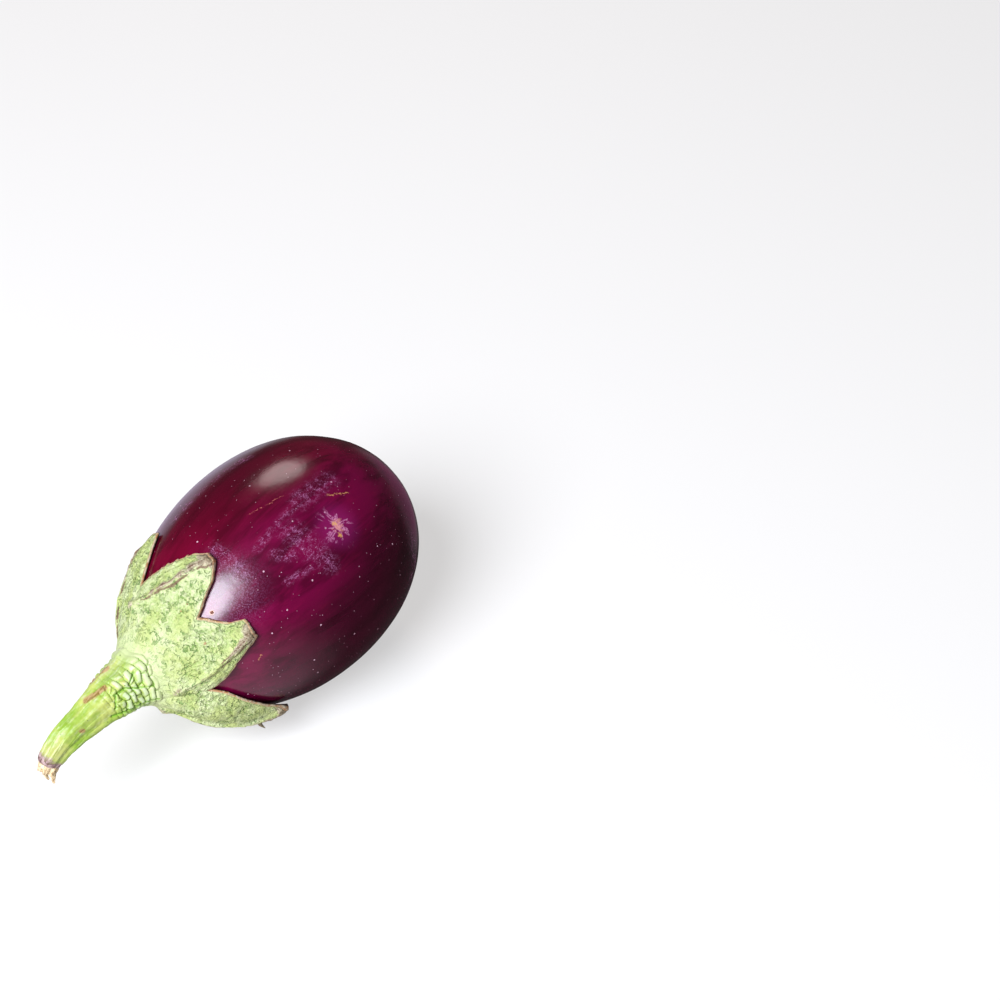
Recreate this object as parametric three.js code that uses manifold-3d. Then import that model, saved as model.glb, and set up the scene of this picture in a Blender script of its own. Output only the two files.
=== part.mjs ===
// A small round-oval purple eggplant, lying on its side as picked, with its green calyx and cut stem.
// Millimetres. The stem points towards -Y, the blossom end towards +Y, and +Z is up.
// The origin is the centre of the small flat spot that the fruit rests on.
import * as THREE from "three";
import { mergeVertices } from "three/addons/utils/BufferGeometryUtils.js";
import Module from "manifold-3d";

// Driving dimensions of the fruit
const fruitRadius = 31;
const fruitHalfLength = 43.5;
const blossomFullness = 0.09; // how far the widest place lies towards the blossom end
const shoulderSlimming = 0.06; // how much the fruit slims under the calyx
const stemEndBend = 2; // how far the stem end bends up from the straight axis
const axisTilt = THREE.MathUtils.degToRad(7); // the heavy stem end dips, the blossom end rises
const flatDepth = 0.6; // how deep the resting spot is pressed into the round underside
const lowestSearch = { from: 60, to: 120, step: 0.1 }; // degrees out from the stem end
const slabSize = 4 * fruitRadius; // the block that cuts the resting spot

// Driving dimensions of the calyx
const calyxGap = 0.3;
const calyxThickness = 1.3;
const calyxTipThickness = 1.0;
const marginRound = 0.35; // how far the rounded margin reaches past the outline
const collarRise = 6.6; // how far the calyx swells out along the stem
const collarReach = 9;
const keelHeight = 1.0;
const keelHalfWidth = 1.4;
const bulgeFrom = 0.2; // shares of a lobe's length between which it lifts off the fruit
const bulgeTo = 0.6;
const tipFrom = 0.7; // where the lobe starts to come back towards the fruit
const tipReturn = 0.7; // how much of its lift the tip loses

// The calyx outline in degrees: [angle round the fruit, angle out from the stem end].
// The angle round the fruit is 90 on top and 0 on the +X side. Each lobe starts at its notch.
const lobes = {
  under: {
    outline: [[-117, 41], [-102, 51], [-93, 58], [-84, 58], [-78, 53], [-69, 48]],
    keel: [[-96, 20], [-91, 40], [-88, 57]],
    standOff: 0,
  },
  lowerRight: {
    outline: [[-57, 43], [-45, 52], [-39, 60], [-33, 62.5], [-27, 57.5], [-21, 53], [-12, 46.7], [0, 40]],
    keel: [[-42, 18], [-42, 34], [-38, 48], [-33, 61]],
    standOff: 2.4,
  },
  right: {
    outline: [[6, 34], [15, 41.5], [24, 48], [30, 54], [33, 58.5], [45, 58.5], [48, 54], [54, 50.5]],
    keel: [[16, 25], [23, 35], [30, 44], [37, 57]],
    standOff: 0.3,
  },
  top: {
    outline: [[63, 47], [69, 54.5], [72, 59.5], [78, 65], [84, 65.5], [90, 63], [99, 57]],
    keel: [[124, 36], [104, 43], [91, 50.5], [81, 64]],
    standOff: 0.2,
  },
  left: {
    outline: [[120, 45], [123, 54], [129, 65.5], [135, 65.5], [144, 60], [156, 53], [168, 47]],
    keel: [[176, 22], [168, 38], [158, 52], [146, 60]],
    standOff: 0,
  },
  back: {
    outline: [[180, 42], [189, 48], [198, 55], [204, 61], [213, 61], [222, 55], [231, 48]],
    keel: [[216, 20], [212, 40], [209, 60]],
    standOff: 0.4,
  },
};

// Driving dimensions of the stem: its centre line in the fruit's middle plane as [along, up]
const stemLine = [
  [-45.2, 5.3],
  [-48, 5.75],
  [-52.2, 6.1],
  [-58, 6.1],
  [-63.5, 5.7],
  [-68, 5.4],
  [-72, 4.4],
  [-74.6, 3.2],
  [-75.7, 2.1],
];
const stemRadii = [
  [0, 7.0],
  [0.09, 6.9],
  [0.16, 6.4],
  [0.28, 5.8],
  [0.44, 5.0],
  [0.63, 4.1],
  [0.74, 3.8],
  [0.89, 3.3],
  [0.96, 3.1],
  [1, 2.7],
];
const ribCount = 5;
const ribHeight = 0.3;
const ribTwist = 1.6; // radians from end to end
const ribStart = 0.6;
const wrinkleHeight = 0.12;
const wrinkleCount = 13;
const wrinkleWaver = 2; // radians
const wrinklesFadeFrom = 0.3; // shares of the stem's length
const wrinklesFadeTo = 0.6;
const seatHeight = 20;
const socketClearance = 0.35;
const dryEndGap = 0.3;

// Driving dimensions of the dry fibres at the cut end
const cutFaceRadius = 2.3;
const cutFaceHeight = 1.2;
const fibreCount = 7;
const fibreLength = 4.6;
const fibreRadius = 0.75;
const fibreSpread = 1.2;
const fibreRoots = 0.55; // how far out the fibres start, as a share of the cut face's radius
const fibreReach = 0.45; // how far a fibre runs on before it hangs, as a share of its length
const fibreTaper = 0.6;
const fibreSag = 1.5; // above 1, a fibre droops more towards its end
const fibreSpreadBend = 0.8 * Math.PI;
const fibreTurnWaver = { size: 0.5, rate: 7 };
const fibreLengthWaver = { middle: 0.75, size: 0.25, rate: 5, start: 1 };
const fibreDrift = 0.1;
const cutFaceTaper = 0.8;

// How finely each surface is divided
const fruitColumns = 48;
const fruitRows = 32;
const calyxColumns = 120;
const calyxOuterRows = 14;
const calyxInnerRows = 8;
const calyxRows = calyxOuterRows + 2 + calyxInnerRows;
const rowCrowding = 0.85; // below 1, the rows crowd towards the margin
const marginShoulder = 0.72; // the margin's height at the outline, as a share of the thickness
const marginMiddle = 0.35;
const stemColumns = 30;
const stemRows = 26;
const keelSteps = 12;
const fibreColumns = 6;
const fibreRows = 5;
const cutFaceColumns = 16;
const seatColumns = 2 * stemColumns;

const radians = THREE.MathUtils.degToRad;
const wasm = await Module();
wasm.setup();

// The fruit's surface at an angle out from the stem end and an angle round it, grown by some mm.
function fruitPoint(outAngle, roundAngle, grow = 0) {
  const along = -(fruitHalfLength + grow) * Math.cos(outAngle);
  const stemward = Math.max(0, Math.cos(outAngle));
  const fullness = 1 - blossomFullness * Math.cos(outAngle) - shoulderSlimming * stemward ** 3;
  const radius = (fruitRadius + grow) * Math.sin(outAngle) * fullness;
  const lift = stemEndBend * stemward ** 2;
  return new THREE.Vector3(
    radius * Math.cos(roundAngle),
    along,
    radius * Math.sin(roundAngle) + lift,
  );
}

// Turns a closed geometry into a solid, with its shared corners merged.
function solidFrom(geometry) {
  const bare = geometry.clone();
  bare.deleteAttribute("normal");
  bare.deleteAttribute("uv");
  const merged = mergeVertices(bare, 1e-4);
  return new wasm.Manifold(
    new wasm.Mesh({
      numProp: 3,
      vertProperties: new Float32Array(merged.attributes.position.array),
      triVerts: new Uint32Array(merged.index.array),
    }),
  );
}

// Turns a solid back into a geometry.
function geometryFrom(solid) {
  const mesh = solid.getMesh();
  const geometry = new THREE.BufferGeometry();
  geometry.setAttribute("position", new THREE.BufferAttribute(mesh.vertProperties, mesh.numProp));
  geometry.setIndex(new THREE.BufferAttribute(mesh.triVerts, 1));
  geometry.computeVertexNormals();
  return geometry;
}

// Moves each corner of a geometry to where the given function puts it.
function reshape(geometry, place) {
  const position = geometry.attributes.position;
  const corner = new THREE.Vector3();
  for (let i = 0; i < position.count; i++) {
    corner.fromBufferAttribute(position, i);
    const moved = place(corner);
    position.setXYZ(i, moved.x, moved.y, moved.z);
  }
  geometry.computeVertexNormals();
  return geometry;
}

// A value read off a list of [place, value] pairs in rising order.
function readAlong(pairs, place) {
  for (let i = 1; i < pairs.length; i++) {
    if (place <= pairs[i][0]) {
      const share = (place - pairs[i - 1][0]) / (pairs[i][0] - pairs[i - 1][0]);
      return THREE.MathUtils.lerp(pairs[i - 1][1], pairs[i][1], THREE.MathUtils.clamp(share, 0, 1));
    }
  }
  return pairs[pairs.length - 1][1];
}

// The lowest point of the tilted fruit, which the flat spot is cut at.
function lowestPoint() {
  let lowest = new THREE.Vector3(0, 0, Infinity);
  for (let degree = lowestSearch.from; degree <= lowestSearch.to; degree += lowestSearch.step) {
    const point = fruitPoint(radians(degree), -Math.PI / 2);
    point.applyAxisAngle(new THREE.Vector3(1, 0, 0), axisTilt);
    if (point.z < lowest.z) lowest = point;
  }
  return lowest;
}

const lowest = lowestPoint();
const fruitLift = -lowest.z - flatDepth;

// The fruit: an egg-shaped body with the flat resting spot cut off its underside.
function fruitGeometry() {
  const body = new THREE.SphereGeometry(1, fruitColumns, fruitRows);
  reshape(body, (corner) => {
    const outAngle = Math.acos(THREE.MathUtils.clamp(-corner.y, -1, 1));
    return fruitPoint(outAngle, Math.atan2(corner.z, corner.x));
  });
  const slab = new THREE.BoxGeometry(slabSize, slabSize, slabSize);
  slab.translate(0, -lowest.y, -slabSize / 2 - fruitLift);
  slab.rotateX(-axisTilt);
  return geometryFrom(solidFrom(body).subtract(solidFrom(slab)));
}

// The stem's centre line, from its seat in the calyx to its cut end.
const stemCurve = new THREE.CatmullRomCurve3(stemLine.map(([along, up]) => new THREE.Vector3(0, along, up)));

// The whole calyx outline and each keel as points on the fruit.
const outline = Object.values(lobes).flatMap((lobe) => lobe.outline);
const firstNotch = outline[0][0];
outline.push([firstNotch + 360, outline[0][1]]);
const keels = Object.values(lobes).map((lobe) => {
  const roundAngles = lobe.keel.map(([roundAngle, outAngle]) => [outAngle, roundAngle]);
  const start = lobe.keel[0][1];
  const end = lobe.keel[lobe.keel.length - 1][1];
  const points = [];
  for (let i = 0; i <= keelSteps; i++) {
    const outAngle = THREE.MathUtils.lerp(start, end, i / keelSteps);
    points.push(fruitPoint(radians(outAngle), radians(readAlong(roundAngles, outAngle))));
  }
  return points;
});

// How far out the calyx reaches, in degrees, at an angle round the fruit in degrees.
function calyxReach(roundDegrees) {
  return readAlong(outline, THREE.MathUtils.euclideanModulo(roundDegrees - firstNotch, 360) + firstNotch);
}

// How far a lobe stands off the fruit there: most in the middle of its width, and less at its tip.
function standOff(roundDegrees, share) {
  const turned = THREE.MathUtils.euclideanModulo(roundDegrees - firstNotch, 360) + firstNotch;
  const list = Object.values(lobes);
  for (let i = 0; i < list.length; i++) {
    const from = list[i].outline[0][0];
    const to = i + 1 < list.length ? list[i + 1].outline[0][0] : firstNotch + 360;
    if (turned >= from && turned < to) {
      const across = Math.sin((Math.PI * (turned - from)) / (to - from));
      const bulge = THREE.MathUtils.smoothstep(share, bulgeFrom, bulgeTo);
      const returned = tipReturn * THREE.MathUtils.smoothstep(share, tipFrom, 1);
      return list[i].standOff * across * bulge * (1 - returned);
    }
  }
  return 0;
}

// The raised dry crest of the nearest keel.
function keelRise(point) {
  let nearest = Infinity;
  const close = new THREE.Vector3();
  for (const points of keels) {
    for (let i = 1; i < points.length; i++) {
      new THREE.Line3(points[i - 1], points[i]).closestPointToPoint(point, true, close);
      nearest = Math.min(nearest, close.distanceTo(point));
    }
  }
  return keelHeight * Math.exp(-((nearest / keelHalfWidth) ** 2));
}

// How thick the calyx is: thinner at the tips and raised along the keels.
function calyxHeight(outAngle, roundAngle, share) {
  const flesh = THREE.MathUtils.lerp(calyxThickness, calyxTipThickness, share ** 2);
  return flesh + keelRise(fruitPoint(outAngle, roundAngle));
}

// How far the collar round the stem's root swells out of the calyx.
function collarSwell(point) {
  const fromStem = Math.hypot(point.x, point.z - stemLine[0][1]);
  return collarRise * Math.exp(-((fromStem / collarReach) ** 2));
}

// The calyx: a fleshy cap with six pointed lobes, hollow under, with a shallow seat for the stem.
function calyxGeometry() {
  const cap = new THREE.SphereGeometry(1, calyxColumns, calyxRows);
  reshape(cap, (corner) => {
    const row = Math.round((Math.acos(THREE.MathUtils.clamp(-corner.y, -1, 1)) / Math.PI) * calyxRows);
    const roundAngle = Math.atan2(corner.z, corner.x);
    const roundDegrees = THREE.MathUtils.radToDeg(roundAngle);
    const reach = radians(calyxReach(roundDegrees));
    const outside = row <= calyxOuterRows;
    const margin = row === calyxOuterRows + 1;
    let share = 1;
    if (outside) share = (row / calyxOuterRows) ** rowCrowding;
    else if (!margin) share = (calyxRows - row) / calyxInnerRows;
    const raised = calyxGap + standOff(roundDegrees, share);
    const outAngle = reach * share + (margin ? marginRound / fruitRadius : 0);
    let heightShare = 0;
    if (outside) heightShare = row === calyxOuterRows ? marginShoulder : 1;
    if (margin) heightShare = marginMiddle;
    const grow = raised + heightShare * calyxHeight(outAngle, roundAngle, share);
    const point = fruitPoint(outAngle, roundAngle, grow);
    if (outside) point.y -= collarSwell(point);
    return point;
  });
  const seatRadius = stemRadii[0][1] + ribHeight + socketClearance;
  const seat = new THREE.CylinderGeometry(seatRadius, seatRadius, seatHeight, seatColumns);
  seat.translate(0, socketClearance - seatHeight / 2, 0);
  const forward = stemCurve.getTangentAt(0);
  seat.applyQuaternion(new THREE.Quaternion().setFromUnitVectors(new THREE.Vector3(0, -1, 0), forward));
  seat.translate(0, stemLine[0][0], stemLine[0][1]);
  return geometryFrom(solidFrom(cap).subtract(solidFrom(seat)));
}

// A point on the stem's surface: how far along it, which way round, and how far out of its radius.
function stemPoint(along, roundAngle, outward) {
  const middle = stemCurve.getPointAt(along);
  const forward = stemCurve.getTangentAt(along);
  const side = new THREE.Vector3(1, 0, 0);
  const up = new THREE.Vector3().crossVectors(side, forward).negate();
  return middle
    .addScaledVector(side, outward * Math.cos(roundAngle))
    .addScaledVector(up, outward * Math.sin(roundAngle));
}

// The stem's radius, with soft lengthwise ribs and cross wrinkles next to the calyx.
function stemRadius(along, roundAngle) {
  const rib = ribHeight * Math.cos(ribCount * roundAngle + ribTwist * along + ribStart);
  const fade = 1 - THREE.MathUtils.smoothstep(along, wrinklesFadeFrom, wrinklesFadeTo);
  const waver = wrinkleWaver * Math.sin(2 * roundAngle);
  const wrinkle = wrinkleHeight * Math.sin(2 * Math.PI * wrinkleCount * along + waver);
  return readAlong(stemRadii, along) + rib + fade * wrinkle;
}

// The stem: a tapering bent stalk, seated in the calyx and cut off at its far end.
function stemGeometry() {
  const stalk = new THREE.CylinderGeometry(1, 1, 1, stemColumns, stemRows);
  reshape(stalk, (corner) => {
    const along = 0.5 - corner.y;
    const roundAngle = Math.atan2(corner.z, corner.x);
    const outward = Math.hypot(corner.x, corner.z) * stemRadius(along, roundAngle);
    return stemPoint(along, roundAngle, outward);
  });
  return geometryFrom(solidFrom(stalk));
}

// One dry fibre: a tapering strand that leaves the cut face and hangs down.
function fibreGeometry(index) {
  const end = stemCurve.getPointAt(1);
  const forward = stemCurve.getTangentAt(1);
  const side = new THREE.Vector3(1, 0, 0);
  const up = new THREE.Vector3().crossVectors(forward, side);
  const turnWaver = fibreTurnWaver.size * Math.sin(fibreTurnWaver.rate * index);
  const turn = (2 * Math.PI * index) / fibreCount + turnWaver;
  const outward = new THREE.Vector3()
    .addScaledVector(side, Math.cos(turn))
    .addScaledVector(up, Math.sin(turn));
  const down = new THREE.Vector3(0, fibreDrift, -1);
  const { middle, size, rate, start } = fibreLengthWaver;
  const length = fibreLength * (middle + size * Math.sin(rate * index + start));
  const base = dryEndGap + cutFaceHeight / 2;
  const strand = new THREE.CylinderGeometry(1, 1, 1, fibreColumns, fibreRows);
  return reshape(strand, (corner) => {
    const along = 0.5 - corner.y;
    const radius = fibreRadius * (1 - fibreTaper * along);
    const spread = fibreRoots * cutFaceRadius + fibreSpread * Math.sin(fibreSpreadBend * along);
    return end
      .clone()
      .addScaledVector(forward, base + fibreReach * length * Math.sin(along))
      .addScaledVector(down, length * along ** fibreSag)
      .addScaledVector(outward, spread)
      .addScaledVector(side, radius * corner.x)
      .addScaledVector(up, radius * corner.z);
  });
}

// The dry end: a low shrunken cap on the cut face with a few frayed fibres hanging from it.
function dryEndGeometry() {
  const tipRadius = cutFaceRadius * cutFaceTaper;
  const cap = new THREE.CylinderGeometry(cutFaceRadius, tipRadius, cutFaceHeight, cutFaceColumns);
  cap.translate(0, -dryEndGap - cutFaceHeight / 2, 0);
  const forward = stemCurve.getTangentAt(1);
  cap.applyQuaternion(new THREE.Quaternion().setFromUnitVectors(new THREE.Vector3(0, -1, 0), forward));
  const end = stemCurve.getPointAt(1);
  cap.translate(end.x, end.y, end.z);
  let tuft = solidFrom(cap);
  for (let i = 0; i < fibreCount; i++) tuft = tuft.add(solidFrom(fibreGeometry(i)));
  return geometryFrom(tuft);
}

function piece(name, geometry, color, roughness) {
  const material = new THREE.MeshStandardMaterial({ color, roughness, metalness: 0 });
  const mesh = new THREE.Mesh(geometry, material);
  mesh.name = name;
  return mesh;
}

const eggplant = new THREE.Group();
eggplant.rotation.x = axisTilt;
eggplant.position.set(0, -lowest.y, fruitLift);
eggplant.add(piece("fruit", fruitGeometry(), 0x530a30, 0.28));
eggplant.add(piece("calyx", calyxGeometry(), 0xb9d491, 0.75));
eggplant.add(piece("stem", stemGeometry(), 0x94b756, 0.6));
eggplant.add(piece("stem_end", dryEndGeometry(), 0xcbb389, 0.9));

const part = new THREE.Group();
part.add(eggplant);
export default part;
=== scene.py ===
# A small round-oval purple eggplant, lying on its side as picked, with its green calyx and cut stem.
# The frame is in metres. The stem points towards -Y, the blossom end towards +Y, and +Z is up.
# Shapes are worked out in millimetres in the fruit's own axes, and placed() puts them in the frame.
import functools
import math
import random

import bmesh
import bpy
from mathutils import Euler, Matrix, Vector, noise


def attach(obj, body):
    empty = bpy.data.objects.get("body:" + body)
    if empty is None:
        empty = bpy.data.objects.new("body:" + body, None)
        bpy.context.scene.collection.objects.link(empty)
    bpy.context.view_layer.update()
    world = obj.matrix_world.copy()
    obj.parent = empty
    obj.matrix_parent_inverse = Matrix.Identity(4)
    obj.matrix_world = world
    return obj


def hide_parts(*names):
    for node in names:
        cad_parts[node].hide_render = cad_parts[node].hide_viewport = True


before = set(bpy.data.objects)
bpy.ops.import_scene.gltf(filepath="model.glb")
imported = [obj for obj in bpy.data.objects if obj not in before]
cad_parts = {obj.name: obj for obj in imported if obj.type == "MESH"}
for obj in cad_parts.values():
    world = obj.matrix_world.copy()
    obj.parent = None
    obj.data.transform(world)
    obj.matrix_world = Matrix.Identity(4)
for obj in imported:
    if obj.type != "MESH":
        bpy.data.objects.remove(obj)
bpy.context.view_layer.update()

MM = 0.001
MERGE_DISTANCE = 1e-7

# The fruit
FRUIT_RADIUS = 31.0
FRUIT_HALF_LENGTH = 43.5
BLOSSOM_FULLNESS = 0.09
SHOULDER_SLIMMING = 0.06
STEM_END_BEND = 2.0
AXIS_TILT = math.radians(7)
FLAT_DEPTH = 0.6
FRUIT_COLUMNS = 320
FRUIT_ROWS = 200

# The calyx
CALYX_GAP = 0.3
CALYX_THICKNESS = 1.45
THIN_MARGIN = 0.75
COLLAR_RISE = 6.6
COLLAR_REACH = 9.0
KEEL_HEIGHT = 0.75
KEEL_FOLD = 0.9
KEEL_HALF_WIDTH = 0.85
CALYX_COLUMNS = 560
OUTER_ROWS = 148
ROW_CROWDING = 0.85
INNER_ROWS = 5
# The cut margin, row by row: how far past the outline, in millimetres, and the share of the thickness
MARGIN_ROWS = ((0.1, 0.92), (0.22, 0.66), (0.24, 0.34), (0.12, 0.06))
CALYX_ROWS = OUTER_ROWS + len(MARGIN_ROWS) + INNER_ROWS

# The calyx outline and keels in degrees: the angle round the fruit, and the angle out from the stem end.
# The angle round is 90 on top and 0 on the +X side. Each lobe starts at its notch. It stands off the fruit
# by some millimetres, and its dryness tells how much of its keel is dry bark, from 0 to 1.
LOBES = {
    "under": {
        "outline": [(-117, 41), (-102, 51), (-93, 58), (-84, 58), (-78, 53), (-69, 48)],
        "keel": [(-96, 20), (-91, 40), (-88, 57)],
        "stand_off": 0.0,
        "dryness": 0.5,
    },
    "lower right": {
        "outline": [
            (-57, 43), (-45, 52), (-39, 60), (-33, 62.5), (-27, 57.5), (-21, 53), (-12, 46.7), (0, 40),
        ],
        "keel": [(-42, 18), (-42, 34), (-38, 48), (-33, 61)],
        "stand_off": 2.4,
        "dryness": 0.3,
    },
    "right": {
        "outline": [(6, 34), (15, 41.5), (24, 48), (30, 54), (33, 58.5), (45, 58.5), (48, 54), (54, 50.5)],
        "keel": [(16, 25), (23, 35), (30, 44), (37, 57)],
        "stand_off": 0.3,
        "dryness": 0.35,
    },
    "top": {
        "outline": [(63, 47), (69, 54.5), (72, 59.5), (78, 65), (84, 65.5), (90, 63), (99, 57)],
        "keel": [(119, 38.5), (104, 43), (91, 50.5), (81, 64)],
        "stand_off": 0.2,
        "dryness": 1.0,
    },
    "left": {
        "outline": [(120, 45), (123, 54), (129, 65.5), (135, 65.5), (144, 60), (156, 53), (168, 47)],
        "keel": [(176, 22), (168, 38), (158, 52), (146, 60)],
        "stand_off": 0.0,
        "dryness": 0.6,
    },
    "back": {
        "outline": [(180, 42), (189, 48), (198, 55), (204, 61), (213, 61), (222, 55), (231, 48)],
        "keel": [(216, 20), (212, 40), (209, 60)],
        "stand_off": 0.4,
        "dryness": 0.6,
    },
}

# The stem: its centre line in the fruit's middle plane as (along, up), and its radius by the share of the
# line's length
STEM_LINE = [
    (-45.2, 5.3), (-48, 5.75), (-52.2, 6.1), (-58, 6.1), (-63.5, 5.7),
    (-68, 5.4), (-72, 4.4), (-74.6, 3.2), (-75.7, 2.1),
]
STEM_RADII = [
    (0, 7.0), (0.09, 6.9), (0.16, 6.4), (0.28, 5.8), (0.44, 5.0),
    (0.63, 4.1), (0.74, 3.8), (0.89, 3.3), (0.96, 3.1), (1, 2.7),
]
STEM_LENGTH = 32.0
STEM_COLUMNS = 220
STEM_ROWS = 260

# The camera, as it stood to the fruit's middle
CAMERA_ELEVATION = math.radians(42)
CAMERA_TURN = math.radians(41)
CAMERA_DISTANCE = 0.52
FOCAL_LENGTH_MM = 72
SENSOR_WIDTH_MM = 36
IMAGE_SIZE = 1000
MIDDLE_PIXEL = (272, 577)


# Shapes

def smooth(value, low, high):
    """0 below low, 1 above high, and a soft step between."""
    share = min(1.0, max(0.0, (value - low) / (high - low)))
    return share * share * (3 - 2 * share)


def mixed(first, second, share):
    return first + (second - first) * share


def hump(distance, width):
    """1 at no distance, falling softly to nothing past the width."""
    return math.exp(-((distance / width) ** 2))


def read_along(pairs, place):
    """A value read off a list of (place, value) pairs in rising order."""
    for (low, first), (high, second) in zip(pairs, pairs[1:]):
        if place <= high:
            return mixed(first, second, min(1.0, max(0.0, (place - low) / (high - low))))
    return pairs[-1][1]


def away_from_line(point, start, end):
    """How far a point is from a straight line between two others."""
    line = end - start
    share = min(1.0, max(0.0, (point - start).dot(line) / line.length_squared))
    return (point - start - line * share).length


def fruit_point(out, turn, grow=0.0):
    """The fruit's surface at an angle out from the stem end and an angle round, grown by millimetres."""
    stemward = max(0.0, math.cos(out))
    fullness = 1 - BLOSSOM_FULLNESS * math.cos(out) - SHOULDER_SLIMMING * stemward ** 3
    radius = (FRUIT_RADIUS + grow) * math.sin(out) * fullness
    along = -(FRUIT_HALF_LENGTH + grow) * math.cos(out)
    up = radius * math.sin(turn) + STEM_END_BEND * stemward ** 2
    return Vector((radius * math.cos(turn), along, up))


def spot(angles, grow=0.0):
    """A place on the fruit told as (out, round) in degrees."""
    out, turn = angles
    return fruit_point(math.radians(out), math.radians(turn), grow)


# The fruit lies tilted, with the lowest place of its underside cut flat on the floor
TILT = Matrix.Rotation(AXIS_TILT, 3, "X")
underside = [TILT @ spot((60 + step / 10, -90)) for step in range(601)]
lowest = min(underside, key=lambda point: point.z)
MIDDLE = Vector((0, -lowest.y, -lowest.z - FLAT_DEPTH))


def placed(point):
    """A point in the fruit's own axes, in millimetres, as a point of the frame, in metres."""
    return (TILT @ point + MIDDLE) * MM


def speckle(point, size, seed=0.0):
    """Soft random relief from -1 to 1 with bumps of about the given size in millimetres."""
    return noise.noise(point / size + Vector((seed, 2 * seed, 3 * seed)))


def shaken(point, size, amount):
    """The point moved about at random, to make a pattern crooked."""
    return point + Vector(speckle(point, size, seed) for seed in (1, 2, 3)) * amount


def cell_border(point, width):
    """1 on the borders between random cells about one unit wide, and 0 inside them."""
    nearer, farther = noise.voronoi(point)[0][:2]
    return hump(farther - nearer, width)


def wrapped(columns, rows, place, marks=()):
    """A closed skin: a grid wrapped round an axis. place(column, row) gives each point and its marks."""
    bm = bmesh.new()
    layers = [bm.verts.layers.float.new(name) for name in marks]
    bmesh.ops.create_grid(bm, x_segments=columns, y_segments=rows, size=1)
    for vert in bm.verts:
        row = round((1 - vert.co.y) / 2 * rows)
        column = round((1 + vert.co.x) / 2 * columns) % columns if 0 < row < rows else 0
        point, *values = place(column, row)
        vert.co = placed(point)
        for layer, value in zip(layers, values):
            vert[layer] = value
    bmesh.ops.remove_doubles(bm, verts=bm.verts, dist=MERGE_DISTANCE)
    bmesh.ops.recalc_face_normals(bm, faces=bm.faces)
    return bm


def joined(bm, other):
    """Adds another bmesh to the first."""
    mesh = bpy.data.meshes.new("joined")
    other.to_mesh(mesh)
    other.free()
    bm.from_mesh(mesh)
    bpy.data.meshes.remove(mesh)


def in_scene(name, data):
    """A new object in the scene."""
    made = bpy.data.objects.new(name, data)
    bpy.context.scene.collection.objects.link(made)
    return made


def solid(bm, name, material):
    """Turns a bmesh into an object of one material."""
    mesh = bpy.data.meshes.new(name)
    bm.to_mesh(mesh)
    bm.free()
    mesh.shade_smooth()
    mesh.materials.append(material)
    return in_scene(name, mesh)


def finished(bm, name, material, node):
    """Turns a bmesh into a piece that rides on the part's one body and stands for a node."""
    piece = solid(bm, name, material)
    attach(piece, "root")
    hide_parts(node)


# Shader maths

def both_ways(operation):
    """The operator that adds a Math node of this kind, and its reflected form."""

    def forward(self, other):
        return self.nodes.maths(operation, self, other)

    def reflected(self, other):
        return self.nodes.maths(operation, other, self)

    return forward, reflected


class Value:
    """A shader socket to reckon with: an expression on values adds its Math nodes."""

    def __init__(self, nodes, socket):
        self.nodes = nodes
        self.socket = socket

    __add__, __radd__ = both_ways("ADD")
    __sub__, __rsub__ = both_ways("SUBTRACT")
    __mul__, __rmul__ = both_ways("MULTIPLY")
    __truediv__, __rtruediv__ = both_ways("DIVIDE")

    def __abs__(self):
        return self.nodes.maths("ABSOLUTE", self)

    def step(self, low, high):
        """0 at low, 1 at high, and a soft step between; low may be the larger."""
        return self.nodes.node(
            "MapRange",
            {"interpolation_type": "SMOOTHSTEP"},
            {"Value": self, "From Min": low, "From Max": high},
        )


class Nodes:
    """A node tree that is built by expressions."""

    def __init__(self, tree):
        self.tree = tree
        tree.nodes.clear()

    def node(self, kind, settings, sockets, output=0):
        """Adds a node with its settings and its sockets' values or links, and gives one output."""
        made = self.tree.nodes.new("ShaderNode" + kind)
        for name, value in settings.items():
            setattr(made, name, value)
        for name, value in sockets.items():
            if isinstance(value, Value):
                self.tree.links.new(value.socket, made.inputs[name])
            else:
                made.inputs[name].default_value = value
        return Value(self, made.outputs[output])

    def maths(self, operation, *values):
        return self.node("Math", {"operation": operation}, dict(enumerate(values)))

    def vectors(self, operation, *values, output=0):
        return self.node("VectorMath", {"operation": operation}, dict(enumerate(values)), output)

    def mix(self, share, first, second):
        """Two colours mixed by a share from 0 to 1. The node's colours are its sockets 6 and 7."""
        sockets = {0: share, 6: rgba(first), 7: rgba(second)}
        return self.node("Mix", {"data_type": "RGBA"}, sockets, 2)

    def painted(self, colour, *coats):
        """A colour with coats on it, each told as how well it covers, from 0 to 1, and its own colour."""
        for cover, coat in coats:
            colour = self.mix(cover, colour, coat)
        return colour

    def output(self, kind, surface):
        """Adds the node that gives the surface to its material or world."""
        made = self.tree.nodes.new("ShaderNodeOutput" + kind)
        self.tree.links.new(surface.socket, made.inputs["Surface"])


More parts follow.
